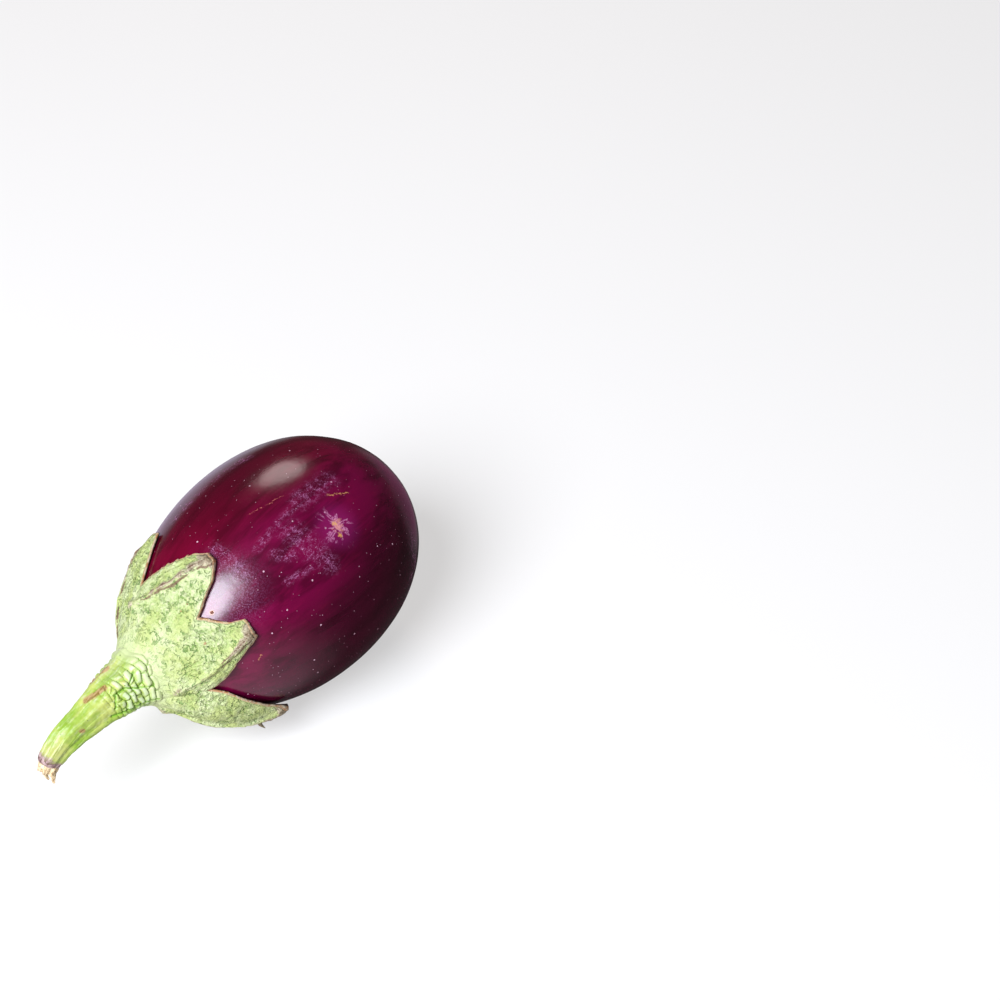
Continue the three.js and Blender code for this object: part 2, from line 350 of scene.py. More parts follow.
class Shader(Nodes):
    """One material, with the nodes that paint it."""

    def __init__(self, name):
        self.material = bpy.data.materials.new(name)
        self.material.use_nodes = True
        super().__init__(self.material.node_tree)
        # The place in the fruit's own axes, in millimetres
        self.place = self.node(
            "Mapping",
            {"vector_type": "TEXTURE"},
            {
                "Vector": self.node("TexCoord", {}, {}, "Object"),
                "Location": MIDDLE * MM,
                "Rotation": (AXIS_TILT, 0, 0),
                "Scale": (MM, MM, MM),
            },
        )

    def mark(self, name):
        """A number that the mesh keeps at each of its points."""
        return self.node("Attribute", {"attribute_name": name}, {}, "Fac")

    def parts(self, place):
        """The three numbers of a place."""
        return [self.node("SeparateXYZ", {}, {"Vector": place}, axis) for axis in "XYZ"]

    def stretched(self, scale, offset=(0, 0, 0)):
        """The place, stretched differently along each axis."""
        return self.node("Mapping", {}, {"Vector": self.place, "Scale": scale, "Location": offset})

    def moved(self, *offset):
        """The place, moved so that a pattern reads another stretch of its noise."""
        return self.stretched((1, 1, 1), offset)

    def crooked(self, size, amount):
        """The place, shifted at random by up to about half the given amount, in millimetres."""
        shifts = self.node("TexNoise", {}, {"Vector": self.place, "Scale": 1 / size, "Detail": 2.0}, "Color")
        centred = self.vectors("SUBTRACT", shifts, (0.5, 0.5, 0.5))
        return self.vectors("ADD", self.place, self.vectors("MULTIPLY", centred, (amount, amount, amount)))

    def away_from(self, point):
        """How far a point is, in millimetres."""
        return self.vectors("DISTANCE", self.place, point, output="Value")

    def patch(self, middle, along):
        """The place as seen from a spot on the fruit: X along the given way, Z outward."""
        outward = (middle - Vector((0, middle.y * 0.5, 0))).normalized()
        across = outward.cross(along).normalized()
        turned = Matrix((across.cross(outward), across, outward)).transposed().to_euler()
        sockets = {"Vector": self.place, "Location": middle, "Rotation": turned}
        return self.node("Mapping", {"vector_type": "TEXTURE"}, sockets)

    def noise(self, size, detail=3.0, roughness=0.5, place=None, distortion=0.0):
        """Cloudy noise from 0 to 1 with features of about the given size in millimetres."""
        sockets = {
            "Vector": place or self.place,
            "Scale": 1 / size,
            "Detail": detail,
            "Roughness": roughness,
            "Distortion": distortion,
        }
        return self.node("TexNoise", {}, sockets)

    def cells(self, size, output="Distance", place=None):
        """Random cells of about the given size in millimetres: their middles' distance or their colours."""
        return self.node("TexVoronoi", {}, {"Vector": place or self.place, "Scale": 1 / size}, output)

    def bump(self, height, strength, depth, normal=None):
        """Relief for the light alone, with its depth in millimetres, laid on the normal that is given."""
        sockets = {"Height": height, "Strength": strength, "Distance": depth * MM}
        if normal:
            sockets["Normal"] = normal
        return self.node("Bump", {}, sockets)

    def finish(self, sockets):
        """Puts the surface's values on its shader and gives the material."""
        self.output("Material", self.node("BsdfPrincipled", {}, sockets))
        return self.material


def rgba(colour):
    """A colour of three numbers as the four that a socket takes; a link is left as it is."""
    return colour if isinstance(colour, Value) else (*colour, 1)


# The skin of the fruit

WINE = (0.128, 0.0006, 0.016)
DARK_WINE = (0.068, 0.0004, 0.008)
MAGENTA = (0.130, 0.0010, 0.032)
DARK_MAGENTA = (0.056, 0.0005, 0.013)
MAGENTA_GLOW = (0.20, 0.010, 0.095)
BRIGHT_STREAK = (0.21, 0.003, 0.035)
# Painted shade, for a darker patch on the upper left of the skin.
SHADE_WINE = (0.030, 0.0004, 0.005)
# Painted shade, for the skin's far side.
SHADE_BLACK = (0.016, 0.0003, 0.004)
LILAC = (0.34, 0.11, 0.25)
# A lilac frost: waxy bloom, with a painted sheen round the highlight.
FROST_SHEEN = (0.26, 0.09, 0.22)
PALE_PINK = (0.72, 0.46, 0.56)
ORANGE = (0.60, 0.29, 0.10)
CORAL = (0.56, 0.15, 0.12)
SCAR_PINK = (0.55, 0.21, 0.38)
SCAR_ORANGE = (0.60, 0.24, 0.20)
SCAR_YELLOW = (0.62, 0.34, 0.08)
CORK = (0.42, 0.27, 0.14)
CREAM = (0.46, 0.32, 0.22)
WART_BROWN = (0.10, 0.025, 0.012)
WART_ORANGE = (0.28, 0.10, 0.05)

# Marks on the skin: places as (out, round) in degrees, and sizes in millimetres
# Painted shade: the middle and radius of a darker patch on the upper left.
SHADE_PATCH = (92, 128)
SHADE_PATCH_RADIUS = 34
# Waxy bloom round the key light's highlight, with a painted sheen: its middle and radius.
BLOOM_SHEEN = (59, 63)
BLOOM_SHEEN_RADIUS = 14
WART = (51.3, 60.0)
WART_RADIUS = 0.42
BLOSSOM_SCAR = (180, 0)
BLOSSOM_SCAR_RADIUS = 4.5
STAR_SCAR = (102.9, 51.3)
STAR_SCAR_END = (104.5, 47.0)
STAR_YELLOWS = ((102.6, 53.2), (101.4, 47.6))
STAR_GLOW_RADIUS = 8.0
STAR_CORE_RADIUS = 1.9
STAR_YELLOW_RADIUS = 0.8
SHORTEST_RAY = 1.2
LONGEST_RAY = 7.2
# A flat mark fades out between these depths under its spot, so it stays off the fruit's other side
NEAR_SIDE = (-4, -3)
# Where the skin is scuffed: the two ends of each scuff, and its half width in millimetres
SCUFFS = [
    ((77.3, 68.5), (99.6, 72.0), 1.0),
    ((99.6, 72.0), (113.4, 71.7), 2.4),
    ((89.3, 62.0), (90.9, 49.9), 3.0),
    ((90.9, 49.9), (92.0, 40.0), 2.2),
    ((76.8, 46.8), (86.7, 44.8), 0.8),
    ((80.0, 60.0), (84.0, 55.0), 1.4),
    ((68.4, 84.4), (68.2, 62.7), 1.6),
    ((72.0, 124.0), (104.0, 116.0), 1.4),
    ((60.0, 200.0), (85.0, 214.0), 2.0),
    ((120.0, -20.0), (132.0, 10.0), 2.6),
]
# Thin corky scratches: their ends, half width and colour
SCRATCHES = [
    ((107.6, 66.0), (116.8, 59.5), 0.34, ORANGE),
    ((83.0, 84.0), (97.5, 78.5), 0.15, CORAL),
    ((54.2, 18.4), (56.8, 20.8), 0.2, ORANGE),
    ((96.0, -30.0), (108.0, -24.0), 0.25, ORANGE),
    ((84.0, 190.0), (99.0, 184.0), 0.25, CORAL),
]
SCRATCH_WAVER = 2.2


def skin_relief(point):
    """Soft unevenness of the skin, with the small scar of the blossom end."""
    relief = 0.10 * speckle(point, 16) + 0.05 * speckle(point, 6, 3.1)
    if point.y > 0:
        from_axis = math.hypot(point.x, point.z)
        relief += 0.55 * hump(from_axis, 1.2) - 0.8 * hump(from_axis, 3.4)
    return relief


def scuff_strength(point, start, end, half_width):
    """1 along the middle of a scuff, and softly down to 0 past its edge."""
    return 1 - smooth(away_from_line(point, start, end), 0.3 * half_width, 1.7 * half_width)


def streaky_wine(shader, fine_streaks):
    """The ground colour: wine red to magenta in long streaks, with painted shade on the far side and in one
    patch.
    """
    across, along, up = shader.parts(shader.place)
    patches = shader.noise(17, 2.0, 0.5) - 0.5
    streaks = shader.noise(4.5, 4.0, 0.6, shader.stretched((1, 0.12, 1)), 0.4)
    redness = (across + patches * 18).step(14, -6)
    # Painted shade: the side turned away from the key light is darkened towards black.
    shaded_far_side = (across - up * 0.55 + along * 0.25 + patches * 9).step(6, 30)
    # Painted shade: a darker patch on the upper left side of the skin.
    shade_patch = (shader.away_from(spot(SHADE_PATCH)) + patches * 16).step(SHADE_PATCH_RADIUS, 10)
    return shader.painted(
        shader.mix(redness, DARK_MAGENTA, DARK_WINE),
        ((streaks + patches * 0.4).step(0.32, 0.62), shader.mix(redness, MAGENTA, WINE)),
        (fine_streaks.step(0.5, 0.75) * 0.25, BRIGHT_STREAK),
        (shaded_far_side * 0.8, SHADE_BLACK),
        (shade_patch * 0.7, SHADE_WINE),
    )


def paint_specks(shader, skin):
    """Pale specks of two sizes."""
    size = shader.parts(shader.cells(2.6, "Color"))[0]
    speck = (shader.cells(2.6) - size * size * size * 0.055).step(0.06, 0.03)
    fine_speck = shader.cells(1.4, place=shader.moved(4, 8, 2)).step(0.10, 0.05)
    skin = shader.mix(speck * 0.65, skin, PALE_PINK)
    return shader.mix(fine_speck * shader.noise(7, 2.0).step(0.42, 0.6) * 0.5, skin, PALE_PINK)


def scuffing(shader):
    """How strongly the skin is scuffed: grit and fine broken lines where the mesh has its marks."""
    lines = abs(shader.noise(1.7, 3.0, 0.65) - 0.5).step(0.035, 0.005)
    crossing = shader.stretched((1.4, 0.5, 1.4), (9, 4, 6))
    cross_lines = abs(shader.noise(1.7, 3.0, 0.65, crossing) - 0.5).step(0.03, 0.005)
    rubbed = shader.noise(1.7, 4.0, 0.7, shader.moved(3, 9, 1)).step(0.42, 0.62)
    grit = shader.noise(0.34, 3.0, 0.7).step(0.42, 0.62)
    hairs = (lines + cross_lines) * (rubbed * 0.4 + grit * 0.15)
    return shader.mark("scuff") * (rubbed * grit * 0.28 + hairs)


def paint_star_scar(shader, skin):
    """A healed wound: a corky middle with pale rays."""
    middle = spot(STAR_SCAR)
    across, up, outward = shader.parts(shader.patch(middle, (spot(STAR_SCAR_END) - middle).normalized()))
    near = outward.step(*NEAR_SIDE)
    flat = shader.node("CombineXYZ", {}, {"X": across, "Y": up})
    radius = shader.vectors("LENGTH", flat, output="Value")
    # Noise that is read by direction gives rays, and a little of the place makes them crooked
    direction = shader.vectors("NORMALIZE", flat)
    crooked = shader.vectors("MULTIPLY_ADD", shader.place, (0.13, 0.13, 0.13), direction)
    growth = shader.noise(0.38, 2.0, 0.5, crooked).step(0.46, 0.64)
    reach = growth * (LONGEST_RAY - SHORTEST_RAY) + SHORTEST_RAY
    rays = (radius / reach).step(1.0, 0.7) * near
    broken = shader.noise(0.42, 3.0, 0.7).step(0.40, 0.58) * radius.step(7.5, 1.0)
    skin = shader.mix(radius.step(STAR_GLOW_RADIUS, 2.0) * near * 0.55, skin, MAGENTA_GLOW)
    skin = shader.mix(rays * broken * 0.8, skin, SCAR_PINK)
    core = (radius + (shader.noise(0.9, 3.0, 0.6) - 0.5) * 6.0).step(STAR_CORE_RADIUS, 0.4) * near
    skin = shader.mix(core * 0.7, skin, SCAR_ORANGE)
    for yellow in STAR_YELLOWS:
        blot = shader.away_from(spot(yellow)) + (shader.noise(0.6, 3.0, 0.6) - 0.5) * 2.4
        skin = shader.mix(blot.step(STAR_YELLOW_RADIUS, 0.2) * 0.7, skin, SCAR_YELLOW)
    return skin


def paint_scratch(shader, skin, start, end, half_width, colour):
    """A thin crooked corky line between two spots."""
    first, last = spot(start), spot(end)
    length = (last - first).length
    along, across, outward = shader.parts(shader.patch((first + last) / 2, (last - first).normalized()))
    crooked = across + (shader.noise(1.3, 4.0, 0.7) - 0.5) * SCRATCH_WAVER
    line = abs(crooked).step(half_width, half_width * 0.3) * abs(along).step(length / 2, length * 0.3)
    broken = shader.noise(0.9, 3.0, 0.6).step(0.42, 0.6)
    return shader.mix(line * broken * outward.step(*NEAR_SIDE) * 0.7, skin, colour)


def skin_material():
    shader = Shader("purple skin")
    fine_streaks = shader.noise(1.0, 4.0, 0.65, shader.stretched((1, 0.07, 1), (7, 0, 3)))
    skin = paint_specks(shader, streaky_wine(shader, fine_streaks))
    scuffed = scuffing(shader)
    skin = shader.mix(scuffed, skin, LILAC)
    # Waxy bloom round the key light's highlight: rougher and tinted lilac, partly real bloom and partly a
    # painted sheen that widens the highlight.
    bloom_sheen = shader.away_from(spot(BLOOM_SHEEN)).step(BLOOM_SHEEN_RADIUS, 4)
    frost_sheen = bloom_sheen * shader.noise(0.34, 3.0, 0.7).step(0.46, 0.62)
    skin = shader.mix(frost_sheen * 0.35, skin, FROST_SHEEN)
    skin = paint_star_scar(shader, skin)
    for scratch in SCRATCHES:
        skin = paint_scratch(shader, skin, *scratch)
    wart = shader.away_from(spot(WART, WART_RADIUS))
    blossom = shader.away_from(spot(BLOSSOM_SCAR)) + (shader.noise(1.8, 4.0, 0.65) - 0.5) * 6.0
    skin = shader.painted(
        skin,
        (wart.step(0.9, 0.7), WART_ORANGE),
        (wart.step(0.3, 0.16), WART_BROWN),
        (blossom.step(BLOSSOM_SCAR_RADIUS, 2.0) * 0.65, CREAM),
        (blossom.step(2.0, 0.6), CORK),
    )

    normal = shader.bump(shader.noise(0.45, 3.0, 0.6), 0.16, 0.06)
    normal = shader.bump(shader.noise(2.2, 3.0, 0.5), 0.15, 0.2, normal)
    return shader.finish({
        "Base Color": skin,
        "Roughness": 0.18 + scuffed * 0.2 + frost_sheen * 0.1 + fine_streaks * 0.04,
        "Normal": normal,
    })


def make_fruit():
    scuffs = [(spot(start), spot(end), width) for start, end, width in SCUFFS]

    def place(column, row):
        out = math.pi * row / FRUIT_ROWS
        turn = 2 * math.pi * column / FRUIT_COLUMNS
        bare = fruit_point(out, turn)
        scuff = max(scuff_strength(bare, *scuff) for scuff in scuffs)
        return fruit_point(out, turn, skin_relief(bare)), scuff

    bm = wrapped(FRUIT_COLUMNS, FRUIT_ROWS, place, ["scuff"])
    for vert in bm.verts:
        vert.co.z = max(0.0, vert.co.z)
    wart = bmesh.new()
    at_wart = Matrix.Translation(placed(spot(WART)))
    bmesh.ops.create_icosphere(wart, subdivisions=3, radius=WART_RADIUS * MM, matrix=at_wart)
    joined(bm, wart)
    finished(bm, "fruit_skin", skin_material(), "fruit")


# The calyx

LIME = (0.47, 0.54, 0.26)
PALE_GREEN = (0.54, 0.60, 0.31)
LEAF_GREEN = (0.43, 0.50, 0.17)
# The next two greens darken hollows, slits and pits: partly the flesh's own colour, partly painted shade;
# the second also colours small dark specks.
CREASE_SHADE_GREEN = (0.24, 0.36, 0.075)
PIT_SHADE_AND_SPECK_GREEN = (0.13, 0.25, 0.05)
RUST = (0.34, 0.13, 0.045)
TAN = (0.55, 0.38, 0.22)
BEIGE = (0.56, 0.48, 0.33)
CUT_BROWN = (0.42, 0.20, 0.08)
BARK_BROWN = (0.17, 0.095, 0.055)
BARK_GREY = (0.44, 0.36, 0.26)
# Painted shade: near black for the calyx's foot and underside, and for the stem's sunken cut end.
SHADE_BROWN = (0.055, 0.022, 0.012)

# Brown dots on the calyx: the place as (out, round), and the radius in millimetres
CALYX_DOTS = (
    ((48.3, 74.2), 0.45),
    ((45.0, 74.4), 0.4),
    ((25.0, 58.5), 0.75),
    ((43.2, 47.2), 0.5),
    ((30.0, 84.0), 0.35),
    ((40.0, 190.0), 0.6),
)

CALYX_OUTLINE = [place for lobe in LOBES.values() for place in lobe["outline"]]
FIRST_NOTCH = CALYX_OUTLINE[0][0]
CALYX_OUTLINE.append((FIRST_NOTCH + 360, CALYX_OUTLINE[0][1]))
NOTCHES = [lobe["outline"][0][0] for lobe in LOBES.values()] + [FIRST_NOTCH + 360]
# Each keel as rising (out, round) pairs in degrees, and how dry it is
KEELS = [([(out, turn) for turn, out in lobe["keel"]], lobe["dryness"]) for lobe in LOBES.values()]
# How far the flesh slopes down from its keel on the two sides, in millimetres
FOLD_REACH = {1: 3.6, -1: 5.5}
# The edge that is torn into small teeth, how far the teeth take to grow, and their height, in degrees
TORN_EDGE = (88, 118)
TORN_FADE = 4
TOOTH_HEIGHT = 1.8
# Between these angles the margin keeps its full thickness: it grows to it, and thins again
THICK_FROM = (58, 63)
THICK_TO = (78, 84)

# The seat of the stem's root on the calyx
SEAT = Vector((0, *STEM_LINE[0]))
SEAT_WAY = (Vector((0, *STEM_LINE[1])) - SEAT).normalized()
SEAT_RADIUS = 7.45
SEAT_DEPTH = 0.25

# The torn strip that hangs from the lower right lobe: its root as (out, round) in degrees, and its size
CURL_ROOT = (53.5, -43)
CURL_ROOT_HEIGHT = 3.2
CURL_LENGTH = 6.6
CURL_HALF_WIDTH = 0.7
CURL_BEND = 3.6
CURL_COLUMNS = 10
CURL_ROWS = 16


def unwound(turn):
    """An angle round the fruit, in degrees, brought into the turn that starts at the first notch."""
    return (turn - FIRST_NOTCH) % 360 + FIRST_NOTCH


@functools.cache
def calyx_reach(turn):
    """How far out the calyx reaches, in degrees, at an angle round the fruit."""
    angle = unwound(turn)
    ragged = 0.4 * noise.noise(Vector((turn / 2.3, 0, 5))) + 0.3 * noise.noise(Vector((turn / 0.9, 0, 9)))
    start, end = TORN_EDGE
    torn = smooth(angle, start, start + TORN_FADE) - smooth(angle, end - TORN_FADE, end)
    teeth = max(0.0, noise.noise(Vector((turn / 1.5, 4, 2)))) * TOOTH_HEIGHT * torn
    return read_along(CALYX_OUTLINE, angle) + ragged + teeth


def lobe_arch(turn, share):
    """How far a lobe stands off the fruit there: most in the middle of its width, and less at its tip."""
    angle = unwound(turn)
    for lobe, start, end in zip(LOBES.values(), NOTCHES, NOTCHES[1:]):
        if start <= angle < end:
            across = math.sin(math.pi * (angle - start) / (end - start))
            along = smooth(share, 0.2, 0.6) * (1 - 0.7 * smooth(share, 0.7, 1))
            return lobe["stand_off"] * across * along
    return 0.0


def nearest_keel(out, turn):
    """The nearest keel: its distance in millimetres, the share along it, the side, and how dry it is."""
    found = (math.inf, 0.0, 1, 0.0)
    ring = FRUIT_RADIUS * math.sin(math.radians(out))
    for keel, dryness in KEELS:
        start, end = keel[0][0], keel[-1][0]
        level = min(max(out, start), end)
        lean = (read_along(keel, level + 0.5) - read_along(keel, level - 0.5)) * ring / FRUIT_RADIUS
        around = (turn - read_along(keel, level) + 180) % 360 - 180
        across = math.radians(around) * ring / math.hypot(1, lean)
        distance = math.hypot(across, math.radians(out - level) * FRUIT_RADIUS)
        if distance < found[0]:
            found = (distance, (level - start) / (end - start), 1 if across > 0 else -1, dryness)
    return found


def from_stem_root(point):
    """How far a point is from the line that runs along the fruit through the stem's root."""
    return math.hypot(point.x, point.z - STEM_LINE[0][1])


def pitting(point, edge, from_keel):
    """How deep the channels and wrinkles are there, from 0 to 1. They are painted darker green, partly as
    painted shade.
    """
    strength = smooth(edge, 0.8, 2.2) * smooth(from_stem_root(point), 10.0, 14) * smooth(from_keel, 0.7, 1.6)
    strength *= 0.35 + 0.65 * smooth(speckle(point, 6, 4.0), -0.35, 0.2)
    channel = cell_border(shaken(point, 1.2, 0.75) / 1.2, 0.2)
    wrinkle = 1 - smooth(abs(speckle(shaken(point, 2.5, 1.2), 2.6, 15)), 0.0, 0.13)
    return max(channel, 0.9 * wrinkle) * strength


def plain_thickness(edge, turn):
    """How thick the flesh is there without its keels, at a distance from the edge."""
    thick_side = smooth(unwound(turn), *THICK_FROM) - smooth(unwound(turn), *THICK_TO)
    margin = mixed(THIN_MARGIN, CALYX_THICKNESS, thick_side)
    return mixed(margin, CALYX_THICKNESS, smooth(edge, 0.0, 3.0))


def calyx_flesh(point, out, turn, share):
    """How thick the calyx is there, and how dry, pitted, near a lobe's tip and near a dark seam it is."""
    distance, along, side, dryness = nearest_keel(out, turn)
    crooked = abs(distance + 0.35 * speckle(point, 2.2, 8))
    width = KEEL_HALF_WIDTH * mixed(0.55, 1.15 + 0.6 * dryness, along ** 2)
    width *= 1 + 0.35 * speckle(point, 1.6, 12)
    crest = math.exp(-((crooked / width) ** 2.2))
    bark = crest * math.sin(9.0 * crooked + 4 * speckle(point, 3.0, 13)) * smooth(along, 0.3, 0.6)
    knob = hump(distance - 0.5, 1.2) * (1 - smooth(along, 0.0, 0.1))
    groove = hump(crooked - 1.7 * width, 0.35) * smooth(along, 0.1, 0.3)
    fold = max(0.0, 1 - distance / FOLD_REACH[side]) ** 1.2 * smooth(along, 0.05, 0.5)
    edge = FRUIT_RADIUS * math.radians(calyx_reach(turn)) * (1 - share)
    pit = pitting(point, edge, distance)

    thickness = plain_thickness(edge, turn) + KEEL_FOLD * fold + KEEL_HEIGHT * crest * mixed(0.6, 1.0, along)
    thickness += 1.1 * knob - 0.2 * groove + 0.12 * bark - 0.36 * pit
    thickness += 0.22 * speckle(point, 5.5, 6) + 0.15 * speckle(point, 1.9, 7)

    dry_share = mixed(smooth(along, 0.55, 0.95), 1.0, dryness)
    dry = max(crest * smooth(along, 0.03, 0.3) * dry_share, 0.75 * knob)
    dry *= 0.7 + 0.5 * speckle(point, 1.6, 14)
    dry = max(dry, smooth(share, 0.90, 0.99) * smooth(along, 0.8, 1.0) * hump(distance, 3.2))
    tip = smooth(share, 0.93, 0.99) * smooth(along, 0.9, 1.0) * hump(distance, 2.0)
    seam = hump(crooked - 1.05 * width * (side < 0), 0.36) * smooth(along, 0.0, 0.1)
    return thickness, dry, pit, tip, seam * (0.75 + 0.6 * speckle(point, 3.1, 16))


def seated(point):
    """The point, let down under the stem's root where that covers it."""
    above = (point - SEAT).dot(SEAT_WAY)
    from_middle = (point - SEAT - SEAT_WAY * above).length
    covered = 1 - smooth(from_middle, SEAT_RADIUS - 0.5, SEAT_RADIUS + 0.35)
    return point + SEAT_WAY * (mixed(above, min(above, -SEAT_DEPTH), covered) - above)


def calyx_row(row):
    """Where a row lies: its share of the reach, how far past the edge, and its share of the thickness."""
    if row <= OUTER_ROWS:
        return (row / OUTER_ROWS) ** ROW_CROWDING, 0.0, 1.0
    if row <= OUTER_ROWS + len(MARGIN_ROWS):
        return 1.0, *MARGIN_ROWS[row - OUTER_ROWS - 1]
    return (CALYX_ROWS - row) / INNER_ROWS, 0.0, 0.0


def torn_curl():
    """A dry torn strip that hangs down and curls back at its end."""
    root = spot(CURL_ROOT, CURL_ROOT_HEIGHT)

    def place(column, row):
        turn, along = 2 * math.pi * column / CURL_COLUMNS, row / CURL_ROWS
        swing = 0.5 * along - 0.5 * math.sin(CURL_BEND * along ** 2)
        drop = CURL_LENGTH * along * (1 - 0.35 * along)
        middle = root + Vector((swing, 1.2 * along, -drop))
        if row in (0, CURL_ROWS):
            return (middle,)
        rounded = math.sqrt(math.sin(math.pi * min(1, 0.03 + 0.97 * along)) + 0.05)
        half_width = CURL_HALF_WIDTH * (1 - 0.6 * along) * rounded
        wide = Vector((0.2, 1, 0.2)) * half_width * math.cos(turn)
        thick = Vector((1, -0.2, 0.5)) * 0.4 * half_width * math.sin(turn)
        return (middle + wide + thick,)

    return wrapped(CURL_COLUMNS, CURL_ROWS, place)


def dry_bark(shader, rough):
    """The colour of the dry keels, darker at the lobes' tips."""
    bark = shader.mix(shader.noise(0.6, 4.0, 0.75).step(0.38, 0.62), BARK_BROWN, BARK_GREY)
    bark = shader.mix(shader.noise(1.8, 3.0, 0.6).step(0.42, 0.6) * 0.7, bark, BEIGE)
    return shader.mix((shader.mark("tip") + rough).step(0.4, 0.9) * 0.7, bark, BARK_BROWN)


def calyx_material():
    shader = Shader("calyx green")
    blotches = shader.noise(6.0, 3.0, 0.6)
    grain = shader.noise(0.6, 4.0, 0.7)
    rough = grain - 0.5
    collar = shader.mark("collar")
    textured = collar.step(0.5, 0.12) * shader.mark("edge").step(1.0, 0.2)

    # The crumpled skin: rounded bumps with short crooked slits between them
    crooked = shader.crooked(1.3, 1.3)
    crumple = shader.noise(1.1, 3.0, 0.6, crooked)
    slit = abs(shader.noise(1.3, 1.0, 0.5, crooked) - 0.5).step(0.06, 0.02)
    slit *= shader.noise(1.9, 2.0, 0.5, shader.moved(8, 3, 5)).step(0.46, 0.58)
    uneven = shader.noise(4.5, 3.0, 0.6, shader.moved(2, 6, 1)).step(0.38, 0.6)
    relief = textured * 0.8 + 0.2
    speck = shader.cells(2.8, place=shader.moved(5, 5, 5)).step(0.1, 0.05)

    # The hollows of the crumple, the slits and the pits are painted darker green: partly the flesh's own
    # colour, partly painted shade.
    flesh = shader.painted(
        shader.mix(blotches.step(0.38, 0.62), LEAF_GREEN, PALE_GREEN),
        ((collar + (blotches - 0.5) * 0.3).step(0.1, 0.5) * 0.85, LIME),
        (crumple.step(0.56, 0.36) * relief * (uneven * 0.3 + 0.17), CREASE_SHADE_GREEN),
        (slit * textured * (uneven * 0.55 + 0.35), PIT_SHADE_AND_SPECK_GREEN),
        ((shader.mark("pit") + rough * 0.5).step(0.3, 1.0) * 0.5, CREASE_SHADE_GREEN),
        (speck * 0.8, PIT_SHADE_AND_SPECK_GREEN),
    )
    for dot, radius in CALYX_DOTS:
        distance = shader.away_from(spot(dot, 2.0)) + rough * 0.5
        flesh = shader.mix(distance.step(radius, radius * 0.6) * 0.75, flesh, RUST)
        flesh = shader.mix(distance.step(radius * 0.55, radius * 0.2) * 0.7, flesh, TAN)

    brown_edge = (shader.mark("edge") + rough * 0.9 + (blotches - 0.5) * 0.9).step(0.66, 0.98)
    # The cut margin's wall keeps its own brown; its foot and the underside against the fruit are painted
    # shade.
    rim = shader.mark("rim") + rough * 0.3
    cut = shader.mix(shader.noise(1.6, 3.0, 0.6).step(0.4, 0.6), CUT_BROWN, BEIGE)
    flesh = shader.painted(
        flesh,
        ((shader.mark("dry") + rough * 0.7).step(0.3, 0.6) * 0.9, dry_bark(shader, rough)),
        ((shader.mark("seam") + rough * 0.9).step(0.4, 0.75) * 0.9, BARK_BROWN),
        (brown_edge * 0.85, shader.mix(grain.step(0.4, 0.6), RUST, TAN)),
        (rim.step(0.04, 0.16), shader.mix(rim.step(0.4, 0.7), cut, SHADE_BROWN)),
    )
    return shader.finish({
        "Base Color": flesh,
        "Roughness": 0.42 + grain * 0.15,
        "Normal": shader.bump((crumple * 1.5 - slit * 0.5) * relief + grain * 0.28, 1.0, 0.62),
    })


def make_calyx():
    def place(column, row):
        turn = column * 360 / CALYX_COLUMNS
        reach = calyx_reach(turn)
        share, past, height = calyx_row(row)
        out = reach * share + math.degrees(past / FRUIT_RADIUS)
        angles = math.radians(out), math.radians(turn)
        raised = CALYX_GAP + lobe_arch(turn, share)
        if not height:
            return fruit_point(*angles, raised), 0, 0, 0, 0, 1, 0, 1
        thickness, *marks = calyx_flesh(fruit_point(*angles), out, turn, share)
        point = fruit_point(*angles, raised + height * thickness)
        collar = 0.0
        if row <= OUTER_ROWS:
            collar = COLLAR_RISE * hump(from_stem_root(point), COLLAR_REACH)
            point = seated(point - Vector((0, collar, 0)))
        from_edge = FRUIT_RADIUS * math.radians(reach) * (1 - share)
        return point, *marks, 1 - smooth(from_edge, 0.0, 0.7), collar / COLLAR_RISE, 1 - height

    bm = wrapped(CALYX_COLUMNS, CALYX_ROWS, place, ["dry", "pit", "tip", "seam", "edge", "collar", "rim"])
    curl_marks = [bm.verts.layers.float[name] for name in ("dry", "tip")]
    grown = set(bm.verts)
    joined(bm, torn_curl())
    for vert in bm.verts:
        if vert not in grown:
            for mark in curl_marks:
                vert[mark] = 1
    finished(bm, "calyx_cap", calyx_material(), "calyx")


# The stem

STEM_GREEN = (0.23, 0.37, 0.035)
STEM_LIGHT = (0.43, 0.48, 0.11)
STEM_PALE = (0.50, 0.56, 0.32)
# A painted highlight on the tops of the stem's blocks.
STEM_TOP_HIGHLIGHT = (0.56, 0.66, 0.40)
# Painted shade on the stem's lower side.
STEM_SHADE_GREEN = (0.13, 0.33, 0.012)
# The next two greens, for the grooves and cracks: partly their own dark green, partly painted shade.
STEM_GROOVE_AND_SHADE_GREEN = (0.20, 0.40, 0.025)
STEM_DEEP_GROOVE_AND_SHADE_GREEN = (0.06, 0.16, 0.012)
STEM_SPECK = (0.05, 0.08, 0.015)
STEM_YELLOW = (0.36, 0.36, 0.12)
STEM_SCAR_DARK = (0.19, 0.07, 0.02)
STEM_SCAR_LIGHT = (0.44, 0.27, 0.13)
PURPLE_BROWN = (0.12, 0.06, 0.055)
MAUVE = (0.42, 0.30, 0.28)

SIDE = Vector((1, 0, 0))
# The ridge that stays free of blocks, as an angle round the stem
PLAIN_RIDGE = math.radians(112)
ROOT_FLARE = 0.95
BLOCK_LENGTH = 1.55
BLOCKS_AROUND = 12
# Brown scuffs on the stem: both ends as (share of its length, degrees round it), and the half width
STEM_SCARS = [
    ((0.34, 82), (0.48, 98), 0.95),
    ((0.21, 122), (0.33, 140), 0.9),
    ((0.66, 28), (0.68, 34), 0.5),
    ((0.69, 142), (0.71, 146), 0.5),
    ((0.55, 215), (0.7, 225), 0.7),
]
